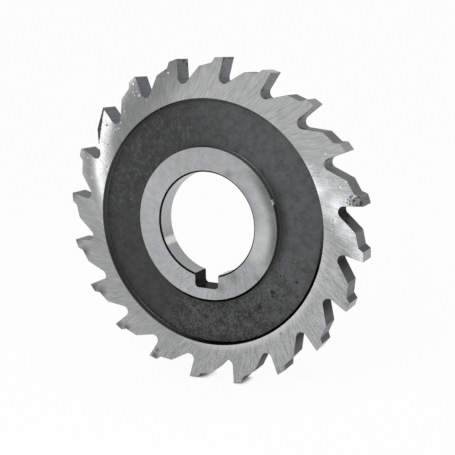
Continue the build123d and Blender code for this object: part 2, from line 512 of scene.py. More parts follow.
def turn_blank(blank, tooth):
    """The turned disc: the bore's circle drawn out along the section of the front half, then mirrored."""
    face = blank.cutting_width / 2
    web = face - blank.recess_depth
    bore = blank.bore_diameter / 2
    hub = blank.hub_diameter / 2
    recess = blank.recess_diameter / 2
    tips = blank.cutting_diameter / 2
    toothed = under_gullets(tooth)
    past_teeth = PAST_TEETH * tips
    clearance_slope = blank.side_clearance / (tips - recess)
    section = [    # each corner's radius, distance from the middle of the width, and rounding
        (bore, face - blank.bore_chamfer, 0),
        (bore + blank.bore_chamfer, face, 0),
        (hub, face, blank.turned_edge_radius),
        (hub, web, blank.recess_fillet),
        (recess, web, blank.recess_fillet),
        (recess, face - blank.side_clearance, blank.recess_edge),
        (toothed, face + (toothed - tips) * clearance_slope, 0),
        (past_teeth, face + (past_teeth - tips) * clearance_slope, 0),
        (past_teeth, 0, 0),
    ]
    circle = {"vertices": BLANK_SIDES, "radius": bore, "rotation": (pi / 2, 0, 0)}
    piece = edit_new(bpy.ops.mesh.primitive_circle_add, "cutter", **circle)
    radius, depth = bore, 0
    for next_radius, next_depth, _ in section:
        bpy.ops.mesh.extrude_edges_move()
        bpy.ops.transform.resize(value=(next_radius / radius, 1, next_radius / radius))
        bpy.ops.transform.translate(value=(0, depth - next_depth, 0))
        radius, depth = next_radius, next_depth
    for radius, depth, rounding in section:
        if rounding:
            pick("EDGE", lambda edge: all(on_ring(corner.co, radius, depth) for corner in edge.verts))
            bpy.ops.mesh.bevel(offset=rounding, segments=SECTION_STEPS, affect="EDGES")
    apply_modifier(piece, "MIRROR", use_axis=(False, True, False), merge_threshold=SAME_PLACE)
    with editing():
        point_outwards()
    return piece


def on_ring(point, radius, depth):
    """Whether a point of the front half lies on one turned circle."""
    return abs(distance_from_axis(point) - radius) < CLOSE and abs(point.y + depth) < CLOSE


def gullet_centre(blank, tooth):
    """Centre of the gullet's arc, which touches the cutting face and the gullet's floor circle."""
    beside_face = Vector((0, 0, blank.cutting_diameter / 2)) + along(-tooth.rake_angle) * tooth.gullet_radius
    down_face = along(-pi / 2 - tooth.rake_angle)
    fall = -beside_face.dot(down_face)
    reach = tooth.gullet_floor_diameter / 2 + tooth.gullet_radius
    return beside_face + down_face * (fall - sqrt(fall**2 - beside_face.length**2 + reach**2))


def tooth_corners(blank, tooth, relieved):
    """Corners of one tooth, each with its rounding, from the foot of its cutting face to its shoulder."""
    pitch = 2 * pi / tooth.count
    edge = Vector((0, 0, blank.cutting_diameter / 2))
    flank_way = along(tooth.flank_angle)
    flank_start = gullet_centre(blank, tooth) + along(tooth.flank_angle - pi / 2) * tooth.gullet_radius
    foot = meeting(edge, along(-pi / 2 - tooth.rake_angle), flank_start, flank_way)
    land_end = edge + along(pi + tooth.land_relief) * tooth.land_length
    step_root = land_end + along(pi + tooth.step_angle) * tooth.step_length
    shoulder = meeting(
        step_root if relieved else edge,
        along(pi + tooth.back_angle),
        turned(flank_start, pitch),
        turned(flank_way, pitch),
    )
    relief = [(land_end, 0), (step_root, tooth.step_root_radius)] if relieved else []
    return [(foot, tooth.gullet_radius), (edge, 0), *relief, (shoulder, tooth.shoulder_radius)]


def round_corner(before, corner, after, radius):
    """Where the arc that rounds a corner starts and ends, its centre, and how far it turns to the left."""
    back = (before - corner).normalized()
    ahead = (after - corner).normalized()
    half = back.angle(ahead) / 2
    reach = radius / tan(half)
    centre = corner + (back + ahead).normalized() * (radius / sin(half))
    left = 1 if cross(-back, ahead) > 0 else -1
    return corner + back * reach, corner + ahead * reach, centre, left * (pi - 2 * half)


def tip_angle(tooth, number):
    """Where a tooth's cutting edge lies, counter-clockwise from the right."""
    return -pi / 2 - pi / tooth.count + number * 2 * pi / tooth.count


def draw_tooth(blank, tooth, number, relieved):
    """Draws a tooth's outline, from the start of its own gullet to the start of the next."""
    pitch = 2 * pi / tooth.count
    place = tip_angle(tooth, number) - pi / 2
    corners = [(turned(corner, place), radius) for corner, radius in tooth_corners(blank, tooth, relieved)]
    points = [
        turned(corners[-1][0], -pitch), *(corner for corner, radius in corners), turned(corners[0][0], pitch)
    ]
    bpy.ops.mesh.select_all(action="DESELECT")
    bpy.ops.mesh.primitive_plane_add(size=1)
    bpy.ops.mesh.merge(type="CENTER")
    here = Vector()
    for corner, (before, at, after) in enumerate(zip(points, points[1:], points[2:])):
        radius = corners[corner][1]
        start, end, centre, angle = round_corner(before, at, after, radius)
        if corner:
            bpy.ops.mesh.extrude_vertices_move(TRANSFORM_OT_translate={"value": start - here})
        else:
            bpy.ops.transform.translate(value=start)
            next_gullet = turned(start, pitch)
        if radius:
            steps = round(abs(degrees(angle)) / ARC_STEP)
            bpy.ops.mesh.spin(steps=steps, angle=angle, center=centre, axis=(0, 1, 0))
        here = end
    bpy.ops.mesh.extrude_vertices_move(TRANSFORM_OT_translate={"value": next_gullet - here})


def mill_teeth(blank, tooth):
    """A prism with the outline of all the teeth, thicker than the blank."""
    depth = 0.8 * blank.cutting_width
    others = tooth.count - 2
    prism = edit_new(bpy.ops.mesh.primitive_plane_add, "teeth", size=1)
    bpy.ops.mesh.delete(type="VERT")
    draw_tooth(blank, tooth, UNRELIEVED_TOOTH + 1, relieved=True)
    take_all()
    angle = others * 2 * pi / tooth.count
    bpy.ops.mesh.spin(steps=others, dupli=True, angle=angle, center=(0, 0, 0), axis=(0, 1, 0))
    draw_tooth(blank, tooth, UNRELIEVED_TOOTH, relieved=False)
    take_all()
    bpy.ops.mesh.remove_doubles(threshold=SAME_PLACE)
    bpy.ops.mesh.edge_face_add()
    bpy.ops.transform.translate(value=(0, -depth, 0))
    bpy.ops.mesh.extrude_region_move(TRANSFORM_OT_translate={"value": (0, 2 * depth, 0)})
    point_outwards()
    leave_edit()
    return prism


def keyway_tool(blank):
    """The space of the keyway, from the bore's middle to its floor, longer than the bore."""
    floor = blank.bore_diameter / 2 + blank.keyway_depth
    tool = edit_new(
        bpy.ops.mesh.primitive_cube_add,
        "keyway",
        size=1,
        location=(0, 0, -floor / 2),
        scale=(blank.keyway_width, 2 * blank.cutting_width, floor),
    )
    pick(
        "EDGE",
        lambda edge: all(abs(corner.co.z + floor) < CLOSE for corner in edge.verts)
        and abs(edge.verts[0].co.x - edge.verts[1].co.x) < CLOSE,
    )
    bpy.ops.mesh.bevel(offset=blank.keyway_corner_radius, segments=CORNER_STEPS, affect="EDGES")
    take_all()
    bpy.ops.transform.rotate(value=blank.keyway_turn, orient_axis="Y", center_override=(0, 0, 0))
    leave_edit()
    return tool


def teeth_past(tooth, place):
    """How many teeth lie before a place, counted from the gullet at the first one's cutting face."""
    angle = atan2(place.z, place.x) - tip_angle(tooth, 0) + GULLET_FROM_TIP
    return angle % (2 * pi) * tooth.count / (2 * pi)


def tidy_sides(blank, tooth):
    """Joins what the mill left of the blank's long faces on the sides of the teeth, one face to a tooth."""
    toothed = under_gullets(tooth)

    def on_side(face):
        return abs(face.normal.y) > 0.9 and distance_from_axis(face.calc_center_median()) > toothed

    def between_teeth(edge):
        start, end = (corner.co for corner in edge.verts)
        middle = (start + end) / 2
        if abs(middle.y) < 0.9 * blank.cutting_width / 2 or distance_from_axis(middle) < toothed:
            return False
        past = teeth_past(tooth, middle)
        return abs(cross(start, end)) < CLOSE * blank.cutting_diameter and abs(past - round(past)) < 0.02

    with editing():
        take_all()
        bpy.ops.mesh.remove_doubles(threshold=0.3 * CLOSE)
        pick("EDGE", between_teeth)
        bpy.ops.mesh.mark_seam(clear=False)
        pick("FACE", on_side)
        bpy.ops.mesh.dissolve_limited(angle_limit=radians(1), delimit={"SEAM"})
        take_all()
        bpy.ops.mesh.mark_seam(clear=True)


def blunt_edge(blank, tooth, number, radius):
    """Rounds a cutting edge that use has blunted."""
    tip = along(tip_angle(tooth, number)) * (blank.cutting_diameter / 2)
    wedge = pi / 2 - tooth.rake_angle - tooth.land_relief
    with editing():
        pick("EDGE", lambda edge: all(distance_from_axis(corner.co - tip) < CLOSE for corner in edge.verts))
        bpy.ops.mesh.bevel(offset=radius / tan(wedge / 2), segments=CORNER_STEPS, affect="EDGES")


def break_edges(tooth, width, finish):
    """Takes the sharpness off the milled edges, with the finish of the given slot on the bevel."""

    def sharp(edge):
        on_teeth = all(distance_from_axis(corner.co) > under_gullets(tooth) for corner in edge.verts)
        return on_teeth and edge.is_manifold and edge.calc_face_angle() > SHARP

    with editing():
        pick("EDGE", sharp)
        bpy.ops.mesh.bevel(offset=width, segments=1, affect="EDGES", clamp_overlap=False, material=finish)


def ragged_wedge(name, start, end, start_width, end_width, ragged, finish, depth_share=1.0):
    """What has crumbled off a corner between two points: a wedge whose edges wander."""
    way = end - start
    tool = edit_new(
        bpy.ops.mesh.primitive_cone_add,
        name,
        vertices=4,
        radius1=start_width,
        radius2=end_width,
        depth=way.length,
        location=(start + end) / 2,
        rotation=(0, atan2(way.x, way.z), 0),
        scale=(1, depth_share, 1),
    )
    step = way.normalized() * 2 / way.length
    pick("EDGE", lambda edge: abs((edge.verts[0].co - edge.verts[1].co).dot(step)) > 1)
    bpy.ops.mesh.subdivide(number_cuts=WEDGE_CUTS)
    take_all()
    bpy.ops.transform.vertex_random(offset=ragged, seed=len(name))
    leave_edit()
    tool.data.materials.append(finish)
    return tool


def worn_corners(blank, tooth, wear, finishes):
    """The wedges that have crumbled off the front corners of two teeth."""
    face = Vector((0, -blank.cutting_width / 2, 0))
    corners = [corner for corner, radius in tooth_corners(blank, tooth, relieved=True)]
    tip, land_end = (turned(corner, tip_angle(tooth, CRUMBLED_TOOTH) - pi / 2) for corner in corners[1:3])
    past_tip = tip + (tip - land_end) / 4
    size = wear.crumbled_corner
    ends = past_tip + face, land_end + face
    tools = [ragged_wedge("crumbled_land", *ends, size, size, wear.ragged, finishes["hollow"])]
    corners = [corner for corner, radius in tooth_corners(blank, tooth, relieved=False)]
    tip, shoulder = (turned(corner, tip_angle(tooth, UNRELIEVED_TOOTH) - pi / 2) for corner in corners[1:3])
    next_foot = turned(corners[0], tip_angle(tooth, UNRELIEVED_TOOTH + 1) - pi / 2)
    down_flank = shoulder + (next_foot - shoulder) * BURR_DOWN_FLANK
    widest = wear.burr_at_shoulder
    for name, start, end, *widths in (
        ("burr_on_back", tip, shoulder, wear.burr_at_tip, widest),
        ("burr_on_flank", shoulder, down_flank, widest, BURR_RUNS_OUT * widest),
    ):
        ends = start + face, end + face
        tools.append(ragged_wedge(name, *ends, *widths, wear.ragged, finishes["burr"], BURR_DEPTH))
    return tools


def pit(blank, place, finishes):
    """A rough lump on the front face, to be taken out of it."""
    radius, angle, width, depth, finish = place
    lump = edit_new(
        bpy.ops.mesh.primitive_ico_sphere_add,
        "pit",
        subdivisions=2,
        radius=width * MM / 2,
        location=along(radians(angle)) * radius * MM - Vector((0, blank.cutting_width / 2, 0)),
        scale=(1, 2 * depth / width, 1),
    )
    bpy.ops.transform.vertex_random(offset=0.1 * width * MM, seed=round(100 * radius))
    leave_edit()
    lump.data.materials.append(finishes[finish])
    return lump


def milled_surface(face, middle, tooth, share_of_tips):
    """Which finish a milled face gets, by its tooth, the way that it faces and its radius."""
    number, within = divmod(teeth_past(tooth, middle), 1)
    facing = degrees(atan2(face.normal.z, face.normal.x) - tip_angle(tooth, number) + pi) % 360 - 180
    if RAKE_FACING[0] < facing < RAKE_FACING[1]:
        return "rake"
    if LAND_FACING[0] <= facing < LAND_FACING[1] and share_of_tips > LANDS_FROM:
        return LAND_SHADING.get(number, "land")
    gullet_floor = facing < FLANK_FACING[0] and share_of_tips < GULLETS_UP_TO
    behind = gullet_floor and within < 0.5    # that floor belongs to the tooth before
    on_flank = FLANK_FACING[0] < facing < FLANK_FACING[1] or gullet_floor
    return "shaded_flank" if on_flank and number - behind in SHADED_FLANKS else "back"


def surface_of(face, blank, tooth):
    """Which finish a face of the cutter gets."""
    middle = face.calc_center_median()
    radius = distance_from_axis(middle)
    hub = blank.hub_diameter / 2
    if abs(face.normal.y) > 0.99:
        return "hub" if radius < hub else "web" if radius < blank.recess_diameter / 2 else "rim"
    if radius > under_gullets(tooth):
        return milled_surface(face, middle, tooth, radius / (blank.cutting_diameter / 2))
    if radius > hub - blank.turned_edge_radius - CLOSE:
        return "wall"
    return "bore" if radius < blank.bore_diameter / 2 + CLOSE else "keyway"


class Field:
    """A number or place that changes over a surface: what a node puts out. Its sums are further nodes."""

    def __init__(self, output):
        self.output = output
        self.tree = output.id_data

    def __add__(self, other):
        return calc(self.tree, "ADD", self, other)

    def __sub__(self, other):
        return calc(self.tree, "SUBTRACT", self, other)

    def __rsub__(self, other):
        return calc(self.tree, "SUBTRACT", other, self)

    def __mul__(self, other):
        return calc(self.tree, "MULTIPLY", self, other)

    def __truediv__(self, other):
        return calc(self.tree, "DIVIDE", self, other)

    def __rtruediv__(self, other):
        return calc(self.tree, "DIVIDE", other, self)

    def __or__(self, other):
        """The larger of two, which joins two masks."""
        return calc(self.tree, "MAXIMUM", self, other)


def feed(socket, value):
    """Gives a socket a value, or links it to a field."""
    if isinstance(value, Field):
        socket.id_data.links.new(value.output, socket)
    else:
        socket.default_value = value


def put(tree, kind, inputs=None, **settings):
    """Adds a node with its settings and what its inputs get."""
    node = tree.nodes.new("ShaderNode" + kind)
    for name, value in settings.items():
        setattr(node, name, value)
    for name, value in (inputs or {}).items():
        feed(node.inputs[name], value)
    return node


def fields(node):
    """All that a node puts out, by name."""
    return {output.name: Field(output) for output in node.outputs}


def result(tree, kind, inputs=None, output=0, **settings):
    """What a new node puts out."""
    return Field(put(tree, kind, inputs, **settings).outputs[output])


def calc(tree, operation, *values):
    """The result of one sum."""
    return result(tree, "Math", dict(enumerate(values)), operation=operation)


def ramp(value, low, high, to_low=0.0, to_high=1.0):
    """A value moved from one range to another, smoothly and without leaving it."""
    inputs = {"Value": value, "From Min": low, "From Max": high, "To Min": to_low, "To Max": to_high}
    return result(value.tree, "MapRange", inputs, interpolation_type="SMOOTHSTEP")


def noise(place, scale, detail, roughness=0.5):
    """Cloudy noise at a place."""
    inputs = {"Vector": place, "Scale": scale, "Detail": detail, "Roughness": roughness}
    return result(place.tree, "TexNoise", inputs)


def parts(place):
    """The X, Y and Z of a place."""
    return fields(put(place.tree, "SeparateXYZ", {0: place}))


def node_group(name, inputs, outputs):
    """An empty node group: its tree, its inputs and its outputs. A tuple is a vector socket."""
    tree = bpy.data.node_groups.new(name, "ShaderNodeTree")
    for label, value in inputs.items():
        kind = "NodeSocketVector" if isinstance(value, tuple) else "NodeSocketFloat"
        tree.interface.new_socket(label, in_out="INPUT", socket_type=kind).default_value = value
    for label in outputs:
        tree.interface.new_socket(label, in_out="OUTPUT", socket_type="NodeSocketFloat")
    return tree, fields(tree.nodes.new("NodeGroupInput")), tree.nodes.new("NodeGroupOutput").inputs


def mottled_by(tree, patches, grain, pits):
    """The mottle of a surface, by the size of its patches, its grain and its pits' spacing in millimetres."""
    return group(tree, "Mottle", Patch_Size=patches * MM, Grain_Size=grain * MM, Pit_Spacing=pits * MM)


def group(tree, name, **inputs):
    """What a node group puts out, placed in a material with its own values."""
    inputs = {label.replace("_", " "): value for label, value in inputs.items()}
    return fields(put(tree, "Group", inputs, node_tree=bpy.data.node_groups[name]))


def here(tree):
    """The place on the cutter, in metres from its centre."""
    return result(tree, "TexCoord", output="Object")


def in_plane(tree):
    """The place on the cutter, seen along the bore."""
    return result(tree, "VectorMath", {0: here(tree), 1: (1, 0, 1)}, operation="MULTIPLY")


def from_axis(tree, centre=(0, 0, 0)):
    """The distance from the bore's axis, or from another line along Y."""
    return result(tree, "VectorMath", {0: in_plane(tree), 1: centre}, "Value", operation="DISTANCE")


def round_axis(tree):
    """The way round the bore's axis."""
    return result(tree, "Tangent", direction_type="RADIAL", axis="Y")


def turned_by(place, angle):
    """A place or a way turned clockwise about the bore's axis, seen from the front."""
    return result(place.tree, "VectorRotate", {"Vector": place, "Angle": angle}, rotation_type="Y_AXIS")


def grinding_arcs():
    """Lines in arcs that run through the axis, as a cup wheel leaves them on a turning disc."""
    middle, lean, lean_change = RIM_GRINDING
    tree, given, wanted = node_group(
        "Grinding arcs",
        {
            "Middle Radius": middle, "Lean": lean, "Lean Change": lean_change,
            "Line Width": 0.2 * MM, "Line Length": 4 * MM, "Band Width": 2 * MM,
        },
        ("Lines", "Bands"),
    )
    place = parts(here(tree))
    radius = from_axis(tree)
    middle = given["Middle Radius"]
    outwards = radius - middle
    mean_lean = calc(tree, "TANGENT", given["Lean"]) - given["Lean Change"] * outwards * 0.5
    arc = calc(tree, "ARCTAN2", place["Z"], place["X"]) + mean_lean * outwards / middle
    along_arc = radius + calc(tree, "SIGN", place["Y"])
    for label, width, length, detail in (
        ("Lines", given["Line Width"], given["Line Length"], 4.0),
        ("Bands", given["Band Width"], given["Band Width"] * 6, 2.0),
    ):
        spread = {
            "X": calc(tree, "COSINE", arc) * middle,
            "Y": calc(tree, "SINE", arc) * middle,
            "Z": along_arc * (width / length),
        }
        value = noise(result(tree, "CombineXYZ", spread), 1 / width, detail, 0.6)
        feed(wanted[label], ramp(value, 0.3, 0.7))


def cut_marks():
    """Straight marks of a milling cutter or a wheel: noise drawn out along one way."""
    tree, given, wanted = node_group("Cut marks", {"Marks per Metre": (1000, 100, 1000)}, ("Marks",))
    inputs = {0: here(tree), 1: given["Marks per Metre"]}
    place = result(tree, "VectorMath", inputs, operation="MULTIPLY")
    feed(wanted["Marks"], ramp(noise(place, 1, 3.0, 0.6), 0.25, 0.75))


def mottle():
    """Soft patches and fine grain, with small dark pits and a few pale flecks in them."""
    tree, given, wanted = node_group(
        "Mottle", {"Patch Size": 3 * MM, "Grain Size": 0.4 * MM, "Pit Spacing": 1 * MM},
        ("Patches", "Grain", "Pits", "Flecks"),
    )
    place = here(tree)
    for label, width, detail in (("Patches", "Patch Size", 3.0), ("Grain", "Grain Size", 2.0)):
        feed(wanted[label], ramp(noise(place, 1 / given[width], detail, 0.6), 0.3, 0.7))
    cells = fields(put(tree, "TexVoronoi", {"Vector": place, "Scale": 1 / given["Pit Spacing"]}))
    lot = parts(cells["Color"])
    kinds = (("Pits", "X", 0.6, 0.3, 0.12), ("Flecks", "Y", 0.93, 0.22, 0.08))
    for label, draw, least, widest, soft in kinds:
        reach = ramp(lot[draw], least, 1.0, 0.0, widest)
        feed(wanted[label], ramp(reach - cells["Distance"], 0.0, soft))


def mark():
    """One ragged mark at a place."""
    tree, given, wanted = node_group(
        "Mark",
        {"Centre": (0.0, 0.0, 0.0), "Size": 0.5 * MM, "Raggedness": 0.5, "Softness": 0.25},
        ("Mask",),
    )
    place = here(tree)
    away = result(tree, "VectorMath", {0: place, 1: given["Centre"]}, "Value", operation="DISTANCE")
    ragged = (noise(place, 2500, 3.0, 0.7) - 0.5) * given["Raggedness"]
    near = ragged * 2 + 0.5 - away / given["Size"]
    feed(wanted["Mask"], ramp(near, 0.0, given["Softness"]))


def marks(tree, places, raggedness=0.5, softness=0.15, depth=FRONT):
    """A mask of several marks, each given by its row in a table of marks."""
    spots = []
    for radius, angle, width, *own_depth in places:
        centre = (along(radians(angle)) * radius + Vector((0, *(own_depth or [depth]), 0))) * MM
        inputs = {"Centre": centre, "Size": width * MM, "Raggedness": raggedness, "Softness": softness}
        spots.append(group(tree, "Mark", **inputs)["Mask"])
    return reduce(or_, spots)


def sector(tree, name):
    """1 in a sector of the cutter, and 0 past its soft border."""
    angle, half, soft, *swept = SECTORS[name]
    place = in_plane(tree)
    if swept:
        place = turned_by(place, (from_axis(tree) - RIM_GRINDING[0]) * (-radians(*swept) / MM))
    way = result(tree, "VectorMath", {0: place}, operation="NORMALIZE")
    inputs = {0: way, 1: along(radians(angle))}
    near = result(tree, "VectorMath", inputs, "Value", operation="DOT_PRODUCT")
    return ramp(near, cos(radians(half + soft)), cos(radians(max(half - soft, 0))))


def ring(tree, name):
    """1 on one side of a ring round the axis, and 0 on the other."""
    full, none = RINGS[name]
    return ramp(from_axis(tree), none * MM, full * MM)


def rgba(value):
    """A property's colour, for a socket."""
    return (*value, 1.0)


class Surface:
    """A finish in the making: its material, and the colour, roughness and height that it has so far."""

    def __init__(self, name, metallic=1.0, anisotropic=0.0, specular=0.5):
        self.finish = bpy.context.scene.cutter_finish
        self.material = bpy.data.materials.new(name)
        self.material.use_nodes = True
        self.tree = self.material.node_tree
        self.sockets = self.tree.nodes["Principled BSDF"].inputs
        self.sockets["Metallic"].default_value = metallic
        self.sockets["Specular IOR Level"].default_value = specular
        self.sockets["Anisotropic"].default_value = anisotropic

    def paint(self, kind, tone):
        """Paints it with the two colours of its kind, by a tone from 0 to 1."""
        self.colour = rgba(getattr(self.finish, kind + "_low"))
        self.lay(kind + "_high", tone)

    def lay(self, name, mask):
        """Lays one of the finish's colours over what is there, by a mask."""
        inputs = {0: mask, 6: self.colour, 7: rgba(getattr(self.finish, name))}
        self.colour = result(self.tree, "Mix", inputs, 2, data_type="RGBA")

    def lay_corner_shade(self, by_hub, by_rim):
        """Lays painted shade, partly black scale, in the recess's corners, by its masks beside the hub and
        beside the rim.
        """
        by_hub = by_hub * sector(self.tree, "corner shade by the hub")
        scale = by_hub | by_rim * sector(self.tree, "corner shade by the rim")
        self.lay("scale_low", scale)
        feed(self.sockets["Metallic"], scale)

    def finished(self, depth):
        """Its material, with the height of 0 to 1 raised by a depth."""
        raised = result(self.tree, "Bump", {"Height": self.height, "Distance": depth})
        feed(self.sockets["Base Color"], self.colour)
        feed(self.sockets["Roughness"], self.roughness)
        feed(self.sockets["Normal"], raised)
        return self.material


def ground_steel(kind, grinding, blots_and_shade, lined, mottled):
    """Steel ground on its side, with the wheel's arcs, clouds in its polish and a grainy sector.

    Gives the surface, its grain, its coarse lines and its clouds.
    """
    finish = bpy.context.scene.cutter_finish
    surface = Surface("Ground " + kind, anisotropic=getattr(finish, kind + "_sheen"))
    tree = surface.tree
    middle, lean, lean_change = grinding
    round_lines = (from_axis(tree) - middle) * -lean_change + lean
    feed(surface.sockets["Tangent"], turned_by(round_axis(tree), round_lines))
    arcs, coarse = (
        group(
            tree, "Grinding arcs", Middle_Radius=middle, Lean=lean, Lean_Change=lean_change,
            Line_Width=wider * finish.grinding_width, Line_Length=longer * finish.grinding_length,
        )
        for wider, longer in ((1, 1), (2, 0.8))
    )
    coarse = coarse["Lines"]
    spots = mottled_by(tree, 2, 0.35, 0.9)
    clouds = noise(here(tree), 220, 3.0)
    ripples = noise(here(tree), 900, 3.0, 0.6)
    grainy = sector(tree, "grainy " + kind)
    evenly = arcs["Lines"] * lined + spots["Patches"] * mottled + (0.4 - (lined + mottled) / 2)
    rough = (spots["Grain"] - 0.5) * 1.3 + (coarse - 0.5) * 0.9
    surface.paint(kind, evenly + coarse * 0.2 + arcs["Bands"] * 0.1 + rough * grainy)
    # Dark blots, partly painted shade that dims the sheen
    surface.lay("stain_and_shade", marks(tree, blots_and_shade, 0.2, 0.5) * 0.3)
    surface.lay("stain_and_shade", spots["Pits"] * grainy * 0.45)
    surface.height = arcs["Lines"] + ripples * 12 + clouds * 30 + spots["Grain"] * 2
    surface.roughness = clouds * 0.16 + arcs["Bands"] * 0.04 + (finish.ground_roughness - 0.1)
    return surface, spots["Grain"], coarse, clouds


def ground_rim():
    """The rim's sides: painted shade and painted glare in sectors, darker round the lower left tips, lighter
    inside at the lower right, stains and dried drops.
    """
    surface, grain, coarse, clouds = ground_steel("rim", RIM_GRINDING, RIM_BLOTS_AND_SHADE, lined=0.9, mottled=0.0)
    tree = surface.tree
    # Painted shade: dims the glare on the right and darkens sectors below and beside the glare; the scuffed
    # sector is also rougher
    scuffed_and_shaded = sector(tree, "scuffed rim")
    darkening = scuffed_and_shaded * 0.05 + scuffed_and_shaded * ramp(clouds, 0.4, 0.66) * 0.12 + marks(tree, DARK_TIPS, 0.1, 0.5) * 0.5
    for name, weight in SHADED_SECTORS.items():
        darkening = darkening + sector(tree, name) * weight
    surface.lay("stain_and_shade", darkening)
    # Painted glare: whiter in the polished sector, which is also smoother, and at the highlights on the right
    polish_and_glare = sector(tree, "polished rim")
    glare = polish_and_glare * ramp(coarse * 0.4 + grain * 0.6, 0.2, 0.6) * 0.5
    surface.lay("droplet_and_highlight", glare | marks(tree, RIM_HIGHLIGHTS, 0.15, 0.6) * 0.45)
    # Lighter near its inside at the lower right
    surface.lay("droplet_and_highlight", sector(tree, "lighter lower right rim") * ring(tree, "rim's inside") * 0.4)
    stains = marks(tree, STAINS)
    surface.lay("stain_and_shade", stains * 0.92)
    drops = marks(tree, DROPLETS, 0.35)
    surface.lay("droplet_and_highlight", drops * 0.9)
    surface.roughness = surface.roughness - polish_and_glare * 0.04 + scuffed_and_shaded * 0.08 + stains * 0.2
    surface.height = surface.height - stains * 2 + drops * 8
    return surface.finished(surface.finish.grinding_depth)


def ground_hub():
    """The hub's faces: painted shade along the outer edge on the right and at the lower right, a painted
    highlight on the right, and darker beside the bore.
    """
    surface, *_ = ground_steel("hub", HUB_GRINDING, HUB_BLOTS_AND_SHADE, lined=0.5, mottled=0.5)
    tree = surface.tree
    outside = ring(tree, "hub's outside")
    # Painted shade along the outer edge on the right, and at the lower right
    surface.lay("stain_and_shade", outside * sector(tree, "dark hub") * 0.6)
    surface.lay("stain_and_shade", sector(tree, "low hub") * 0.12)
    # A painted highlight on the right
    surface.lay("droplet_and_highlight", (1 - outside) * sector(tree, "bright hub") * 0.2)
    surface.lay("stain_and_shade", ring(tree, "beside the bore") * sector(tree, "hub beside the bore") * 0.2)
    return surface.finished(surface.finish.grinding_depth)


def black_oxide(kind, gloss, roughness):
    """Steel left black from its heat treatment, cloudy and pitted. The recess's walls get painted light and
    painted shade, and are darker along their top edge.
    """
    surface = Surface("Blackened " + kind, metallic=0.0, specular=gloss)
    tree = surface.tree
    spots = mottled_by(tree, 1.3, 0.35, 1.1)
    tone = spots["Patches"] * 0.45 + spots["Grain"] * 0.55
    surface.paint(kind, tone)
    if kind == "wall":
        # Painted light on the walls on the left
        surface.lay("painted_oxide_sheen", sector(tree, "pale wall") * 0.85)
        # Darker along the walls' top edge
        from_middle = calc(tree, "ABSOLUTE", parts(here(tree))["Y"])
        surface.lay("scale_high", ramp(from_middle, 1.65 * MM, 2.0 * MM, 0.65, 0.0))
        # Painted light on the walls at the upper right, and painted shade at the top
        surface.lay("painted_oxide_sheen", sector(tree, "lit upper wall") * 0.5)
        surface.lay("scale_high", sector(tree, "dark wall") * 0.45)
        # Painted shade in the walls' corners, partly black scale
        by_rim = ring(tree, "nearer the rim")
        surface.lay_corner_shade(1 - by_rim, by_rim)
        # Painted glints by the nicks at the hub's edge
        surface.lay("droplet_and_highlight", marks(tree, NICK_GLINTS, 0.6, 0.3) * 0.6)
    surface.roughness = spots["Patches"] * 0.1 + spots["Grain"] * 0.05 + (roughness - 0.07)
    surface.height = tone - spots["Pits"]
    return surface.finished(0.015 * MM)


def web_oxide():
    """The blackened web: flecked at the upper left, grainy and pitted below, with painted sheen on the right,
    a painted shadow beside the hub, and painted shade in the corners, partly black scale.
    """
    finish = bpy.context.scene.cutter_finish
    surface = Surface("Blackened web", metallic=0.0, specular=finish.oxide_gloss)
    tree = surface.tree
    spots = mottled_by(tree, 2.2, 0.45, 1.3)
    fine = mottled_by(tree, 0.9, 0.28, 0.7)
    streaks = group(
        tree, "Grinding arcs", Middle_Radius=30 * MM, Lean=0.0, Lean_Change=0.0,
        Line_Width=1.0 * MM, Line_Length=1.9 * MM,
    )
    grainy = sector(tree, "grainy web")
    grain = spots["Grain"] * 0.35 + fine["Patches"] * 0.2 + fine["Grain"] * 0.45 - 0.5
    flecks = (streaks["Lines"] * 0.45 + fine["Patches"] * 0.55 - 0.52) | 0.0
    patches = spots["Patches"] - 0.5
    tone = (
        patches * 0.25 + grain * 0.3 + (grain * 3.0 + patches * 0.8 + 0.14) * grainy
        + flecks * sector(tree, "flecked web") * 1.2 + 0.27
    )
    surface.paint("web", tone)
    # Painted sheen: the web paler towards the right
    worn = spots["Patches"] * 0.35 + fine["Grain"] * 0.3 + 0.23
    surface.lay("painted_oxide_sheen", sector(tree, "pale web") * worn)
    pits = (spots["Pits"] | fine["Pits"] * 0.6) * (grainy * 0.9 + 0.05)
    pits = pits | marks(tree, WEB_PITS, 0.5, 0.3, depth=WEB)
    surface.lay("oxide_pit_and_shade", pits)
    surface.lay("oxide_fleck", fine["Flecks"] * grainy * 0.35)
    surface.lay("oxide_fleck", marks(tree, LONE_FLECKS, 0.1, depth=WEB))
    # Painted shadow on the web to the right of the hub
    shade = ring(tree, "beside the hub") * sector(tree, "web beside the hub") * 0.6
    surface.lay("oxide_pit_and_shade", shade)
    # Painted shade in the corners by the hub and by the rim, partly black scale
    from_shade_centre = from_axis(tree, CORNER_SHADE_CENTRE)
    by_hub, by_rim = (
        ramp(from_shade_centre, edge - CORNER_SHADE_BORDER, edge + CORNER_SHADE_BORDER) for edge in (CORNER_SHADE_BY_HUB, CORNER_SHADE_BY_RIM)
    )
    surface.lay_corner_shade(1 - by_hub, by_rim)
    surface.roughness = spots["Patches"] * 0.1 + grain * 0.15 + shade * 0.2 + finish.oxide_roughness
    surface.height = tone - pits * 2
    return surface.finished(0.02 * MM)


